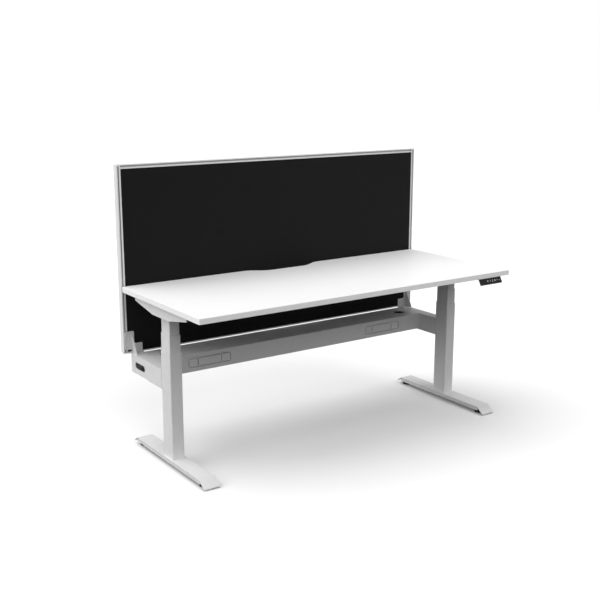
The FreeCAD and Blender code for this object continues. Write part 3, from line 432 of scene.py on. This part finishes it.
# Each material: the function that makes it, its colour and what else that function needs
LOOKS = {
    "frame_paint": (powder_coat, grey(0.72)),
    "screen_frame": (satin_aluminium, BAR_GREY, UPRIGHT_LINES),
    "screen_rail": (satin_aluminium, BAR_GREY, LEVEL_LINES),
    "screen_fabric": (woven_cloth, (0.0045, 0.0045, 0.0048), CLOTH_THREAD),
    "screen_board": (raw_board, (0.40, 0.28, 0.16)),
    "worktop_board": (melamine, grey(0.88)),
    "worktop_edge": (edging, grey(0.94)),
    "steel": (plated_steel, (0.56, 0.56, 0.57)),
    "motor": (powder_coat, (0.03, 0.03, 0.032)),
    "guide_plastic": (moulded_plastic, grey(0.58)),
    "black_plastic": (moulded_plastic, BLACK),
    "handset_face": (satin_plastic, BLACK),
    "handset_keys": (satin_plastic, (0.014, 0.014, 0.0145)),
    "circuit": (circuit_board, (0.02, 0.11, 0.04)),
    "legend": (printed_ink, grey(0.85)),
}
materials = {name: make(name, *values) for name, (make, *values) in LOOKS.items()}


# CAD nodes

def soften(item, width):
    """Welds a node's points, joins its flat faces and breaks its sharp edges."""
    weld = item.modifiers.new("weld", "WELD")
    weld.merge_threshold = WELD_GAP
    flat = item.modifiers.new("flat_faces", "DECIMATE")
    flat.decimate_type = "DISSOLVE"
    flat.angle_limit = math.radians(FLAT_ANGLE)
    bevel = item.modifiers.new("edges", "BEVEL")
    bevel.width = width
    bevel.segments = EDGE_SEGMENTS
    bevel.limit_method = "ANGLE"
    bevel.angle_limit = math.radians(SHARP_ANGLE)
    bevel.use_clamp_overlap = True
    item.modifiers.new("normals", "WEIGHTED_NORMAL")


def dress_nodes():
    """Gives every CAD node its material and softens its edges."""
    for part in frame["record"]["subparts"]:
        name = part["node"]
        look = "screen_rail" if name in RAILS else part["material_slot"]
        for place in nodes[name].material_slots:
            place.material = materials[look]
        soften(nodes[name], EDGE_BREAKS.get(name, EDGE_BREAK))


# New pieces

def add_object(name, data):
    made = bpy.data.objects.new(name, data)
    bpy.context.scene.collection.objects.link(made)
    return made


def add_piece(name, mesh, body, look):
    piece = add_object(name, mesh)
    mesh.materials.append(materials[look])
    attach(piece, body)
    return piece


def finish_mesh(name, shape, smooth=True):
    bmesh.ops.recalc_face_normals(shape, faces=shape.faces)
    for face in shape.faces:
        face.smooth = smooth
    mesh = bpy.data.meshes.new(name)
    shape.to_mesh(mesh)
    shape.free()
    return mesh


def join_rings(shape, rings, closed=False):
    """Faces from ring to ring of points; the last joins the first, or else both ends get a face."""
    pairs = list(zip(rings, rings[1:]))
    if closed:
        pairs.append((rings[-1], rings[0]))
    else:
        shape.faces.new(rings[0])
        shape.faces.new(rings[-1])
    for near, far in pairs:
        for i in range(len(near)):
            j = (i + 1) % len(near)
            shape.faces.new((near[i], near[j], far[j], far[i]))


# Screen cloth

def steps_across(low, high, count):
    """Grid lines that crowd near both ends, where the cloth turns over the panel's edge."""
    near = [low + CLOTH_ROUND * share for share in CLOTH_TURN_SHARES]
    far = [high - CLOTH_ROUND * share for share in reversed(CLOTH_TURN_SHARES)]
    inner = [near[-1] + (far[0] - near[-1]) * i / count for i in range(1, count)]
    return near + inner + far


def cloth_fall(x, z, low, high):
    """How far the cloth lies behind the panel's face: rounded at the edges and slightly crowned."""
    gap = min(x - low.x, high.x - x, z - low.z, high.z - z)
    turn = CLOTH_ROUND - min(gap, CLOTH_ROUND)
    fall = CLOTH_ROUND - math.sqrt(CLOTH_ROUND ** 2 - turn ** 2)
    bow_across = math.sin(math.pi * (x - low.x) / (high.x - low.x))
    bow_upward = math.sin(math.pi * (z - low.z) / (high.z - low.z))
    return fall - CLOTH_CROWN * math.sqrt(bow_across * bow_upward)


def close_back(shape, back):
    """Draws the cloth's rim straight back and closes it with a flat face."""
    rim = [edge for edge in shape.edges if len(edge.link_faces) == 1]
    skirt = bmesh.ops.extrude_edge_only(shape, edges=rim)["geom"]
    for vert in [item for item in skirt if isinstance(item, bmesh.types.BMVert)]:
        vert.co.y = back
    ring = [item for item in skirt if isinstance(item, bmesh.types.BMEdge)]
    bmesh.ops.contextual_create(shape, geom=ring)


def cloth_panel(name, node, front):
    """A padded infill: cloth drawn over a board."""
    low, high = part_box(node)
    face, back = (low.y, high.y) if front else (high.y, low.y)
    inward = 1 if front else -1
    across = steps_across(low.x, high.x, CLOTH_STEPS_ACROSS)
    upward = steps_across(low.z, high.z, CLOTH_STEPS_UPWARD)
    shape = bmesh.new()
    rows = []
    for z in upward:
        spots = [(x, face + inward * cloth_fall(x, z, low, high), z) for x in across]
        rows.append([shape.verts.new(spot) for spot in spots])
    for lower, upper in zip(rows, rows[1:]):
        for i in range(len(across) - 1):
            shape.faces.new((lower[i], lower[i + 1], upper[i + 1], upper[i]))
    close_back(shape, back)
    piece = add_piece(name, finish_mesh(name, shape), "base", "screen_fabric")
    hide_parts(node)


# Fasteners with their real heads, in place of the plain ones

def solids_of(node):
    """The points of each separate solid in a node."""
    shape = bmesh.new()
    shape.from_mesh(nodes[node].data)
    bmesh.ops.remove_doubles(shape, verts=shape.verts, dist=WELD_GAP)
    left = set(shape.verts)
    solids = []
    while left:
        reached = [left.pop()]
        points = []
        while reached:
            vert = reached.pop()
            points.append(nodes[node].matrix_world @ vert.co)
            for edge in vert.link_edges:
                other = edge.other_vert(vert)
                if other in left:
                    left.remove(other)
                    reached.append(other)
        solids.append(points)
    shape.free()
    return solids


def round_axis(points):
    """The axis of a turned solid, whose other two extents are equal, and the corners of its box."""
    low = Vector([min(point[i] for point in points) for i in range(3)])
    high = Vector([max(point[i] for point in points) for i in range(3)])
    size = high - low
    axis = min(range(3), key=lambda i: abs(size[(i + 1) % 3] - size[(i + 2) % 3]))
    return axis, low, high


def off_axis(point, centre, axis):
    away = point - centre
    away[axis] = 0
    return away.length


def circle(radius):
    return [radius] * RING_POINTS


def hexagon(inradius):
    """Distances from the centre to a hexagon's outline, all the way round."""
    angles = [2 * math.pi * i / RING_POINTS for i in range(RING_POINTS)]
    return [inradius / math.cos(angle % SIXTH_TURN - SIXTH_TURN / 2) for angle in angles]


def lathe(shape, rings, origin, axis, way, closed=False):
    """A turned solid; each ring has its points' distances from the axis and its place along it."""
    along_axis, first, second = [Vector((0, 0, 0)) for _ in range(3)]
    along_axis[axis] = way
    first[(axis + 1) % 3] = 1
    second[(axis + 2) % 3] = 1
    made = []
    for distances, along in rings:
        ring = []
        for i, distance in enumerate(distances):
            angle = 2 * math.pi * i / RING_POINTS
            spot = origin + along_axis * along
            spot += (first * math.cos(angle) + second * math.sin(angle)) * distance
            ring.append(shape.verts.new(spot))
        made.append(ring)
    join_rings(shape, made, closed)


def turned_bolt(shape, points):
    """A domed head with a hexagon socket and a chamfered shank, inside the plain bolt's outline."""
    axis, low, high = round_axis(points)
    centre = (low + high) / 2
    radius = (high - low)[(axis + 1) % 3] / 2
    reach = (high - low)[axis]
    distances = [off_axis(point, centre, axis) for point in points]
    rim = [point[axis] for point, away in zip(points, distances) if away > RIM_SHARE * radius]
    head = max(rim) - min(rim)
    shank = max(away for away in distances if away < SHANK_SHARE * radius)
    tip = shank * TIP_CHAMFER_SHARE
    way = 1 if sum(rim) / len(rim) < centre[axis] else -1
    origin = centre.copy()
    origin[axis] = low[axis] if way > 0 else high[axis]
    socket = radius * SOCKET_SHARE
    rings = [(hexagon(socket * wide), head * deep) for wide, deep in SOCKET_RING_SHARES]
    rings += [(circle(radius * wide), head * deep) for wide, deep in HEAD_RING_SHARES]
    rings += [(circle(shank), head), (circle(shank), reach - tip), (circle(shank - tip), reach)]
    lathe(shape, rings, origin, axis, way)


def hexagon_nut(shape, points):
    """A six-sided nut with chamfered corners, inside the plain nut's outline."""
    axis, low, high = round_axis(points)
    centre = (low + high) / 2
    outer = (high - low)[(axis + 1) % 3] / 2 * math.cos(SIXTH_TURN / 2)
    thick = (high - low)[axis]
    bore = min(off_axis(point, centre, axis) for point in points)
    chamfer = thick * NUT_CHAMFER_SHARE
    origin = centre.copy()
    origin[axis] = low[axis]
    rings = [
        (circle(bore), 0.0),
        (circle(outer), 0.0),
        (hexagon(outer), chamfer),
        (hexagon(outer), thick - chamfer),
        (circle(outer), thick),
        (circle(bore), thick),
    ]
    lathe(shape, rings, origin, axis, way=1, closed=True)


def fastener_set(name, node, body):
    """All the fasteners of one node, turned in place of the plain ones."""
    shape = bmesh.new()
    for points in solids_of(node):
        axis, low, high = round_axis(points)
        size = high - low
        if size[axis] < NUT_HEIGHT_SHARE * size[(axis + 1) % 3]:
            hexagon_nut(shape, points)
        else:
            turned_bolt(shape, points)
    piece = add_piece(name, finish_mesh(name, shape), body, "steel")
    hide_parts(node)
    crease = piece.modifiers.new("corners", "EDGE_SPLIT")
    crease.split_angle = math.radians(CREASE_ANGLE)


# Legends on the keys

def face_point(x, down, sink):
    """A point on the handset's slanted face, sink metres below it."""
    sine = FACE_REACH / FACE_LENGTH
    cosine = FACE_DROP / FACE_LENGTH
    return Vector((
        x,
        FACE_TOP_Y + sink * cosine - down * sine,
        FACE_TOP_Z - sink * sine - down * cosine,
    ))


def ways_along(points):
    """The directions into and out of each point of a line; at its two ends they are the same."""
    steps = [(far - near).normalized() for near, far in zip(points, points[1:])]
    return zip([steps[0]] + steps, steps + [steps[-1]])


def turned_left(way):
    return Vector((-way.y, way.x))


def stroke_solid(shape, points, to_space):
    """A thin bar of even width along a line of points, with mitred corners, set a little into the key."""
    rings = []
    for point, (before, after) in zip(points, ways_along(points)):
        normal = turned_left((before + after).normalized())
        lean = normal.dot(turned_left(after))
        reach = LEGEND_STROKE / 2 / max(lean, LEGEND_LEAN_SHARE)
        left = point - normal * reach
        right = point + normal * reach
        corners = [
            (left, LEGEND_HEIGHT),
            (right, LEGEND_HEIGHT),
            (right, -LEGEND_ROOT),
            (left, -LEGEND_ROOT),
        ]
        rings.append([shape.verts.new(to_space(spot, height)) for spot, height in corners])
    join_rings(shape, rings)


def make_legend(name, line):
    """The legend of one key, in the middle of its top."""
    low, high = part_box(f"button_{name}")
    centre = (low.x + high.x) / 2

    def to_space(point, height):
        return face_point(centre + point.x, FACE_LENGTH / 2 - point.y, -KEY_PROUD - height)

    shape = bmesh.new()
    stroke_solid(shape, [Vector(point) * LEGEND_UNIT for point in line], to_space)
    legend = f"legend_{name}"
    add_piece(legend, finish_mesh(legend, shape, smooth=False), f"key_{name}", "legend")


# Stage

def seen_rays(tree):
    """One for rays that show the surroundings, straight, mirrored or through glass; zero for the others."""
    path = tree.nodes.new("ShaderNodeLightPath")
    seen = path.outputs["Is Camera Ray"]
    for kind in ("Is Glossy Ray", "Is Transmission Ray"):
        either = tree.nodes.new("ShaderNodeMath")
        either.operation = "MAXIMUM"
        tree.links.new(seen, either.inputs[0])
        tree.links.new(path.outputs[kind], either.inputs[1])
        seen = either.outputs["Value"]
    return seen


def paper():
    """White paper that is bright where it is seen but throws little light back on the object."""
    made = Shader("floor_paper")
    fill(made.main, Roughness=0.9, Specular_IOR_Level=0.1)
    seen = seen_rays(made.tree)
    made.colour(made.ramp(seen, [(0.0, grey(FLOOR_BOUNCE)), (1.0, grey(FLOOR_SEEN))]))
    glow = made.add("ShaderNodeEmission")
    fill(glow, Color=opaque(grey(1.0)))
    made.feed(made.combine("MULTIPLY", seen, FLOOR_GLOW), glow.inputs["Strength"])
    both = made.add("ShaderNodeAddShader")
    made.feed(made.main.outputs["BSDF"], both.inputs[0])
    made.feed(glow.outputs["Emission"], both.inputs[1])
    made.feed(both.outputs["Shader"], made.tree.nodes["Material Output"].inputs["Surface"])
    return made.material


def make_floor():
    shape = bmesh.new()
    bmesh.ops.create_grid(shape, x_segments=1, y_segments=1, size=FLOOR_HALF)
    mesh = finish_mesh("floor", shape, smooth=False)
    mesh.materials.append(paper())
    floor = add_object("floor", mesh)


def make_world():
    """Even light all round, and white where the surroundings are seen."""
    world = bpy.data.worlds.new("studio")
    bpy.context.scene.world = world
    world.use_nodes = True
    tree = world.node_tree
    ambient = tree.nodes["Background"]
    backdrop = tree.nodes.new("ShaderNodeBackground")
    fill(ambient, Color=opaque(grey(1.0)), Strength=AMBIENT)
    fill(backdrop, Color=opaque(grey(1.0)), Strength=BACKDROP)
    choose = tree.nodes.new("ShaderNodeMixShader")
    sources = (seen_rays(tree), ambient.outputs["Background"], backdrop.outputs["Background"])
    for source, socket in zip(sources, choose.inputs):
        tree.links.new(source, socket)
    tree.links.new(choose.outputs["Shader"], tree.nodes["World Output"].inputs["Surface"])


def make_lamps():
    """Wide soft lamps, so far off that the floor is lit evenly."""
    for name, (source, strength) in LAMPS.items():
        data = bpy.data.lights.new(name, "SUN")
        data.energy = strength
        data.angle = math.radians(LAMP_SPREAD)
        lamp = add_object(name, data)
        lamp.rotation_euler = (-Vector(source)).to_track_quat("-Z", "Y").to_euler()


def make_camera():
    data = bpy.data.cameras.new("camera")
    data.sensor_width = CAMERA_SENSOR
    data.lens = CAMERA_LENS
    data.clip_end = CAMERA_SIGHT
    camera = add_object("camera", data)
    camera.location = CAMERA_SPOT
    camera.rotation_euler = (math.radians(CAMERA_PITCH), 0.0, math.radians(CAMERA_YAW))
    bpy.context.scene.camera = camera


dress_nodes()
cloth_panel("screen_cloth_front", "screen_fabric_front", front=True)
cloth_panel("screen_cloth_rear", "screen_fabric_rear", front=False)
for set_name, (replaced_node, set_body) in FASTENERS.items():
    fastener_set(set_name, replaced_node, set_body)
for key_name, key_line in LEGENDS.items():
    make_legend(key_name, key_line)
make_floor()
make_world()
make_lamps()
make_camera()
bpy.context.scene.view_settings.view_transform = "Standard"
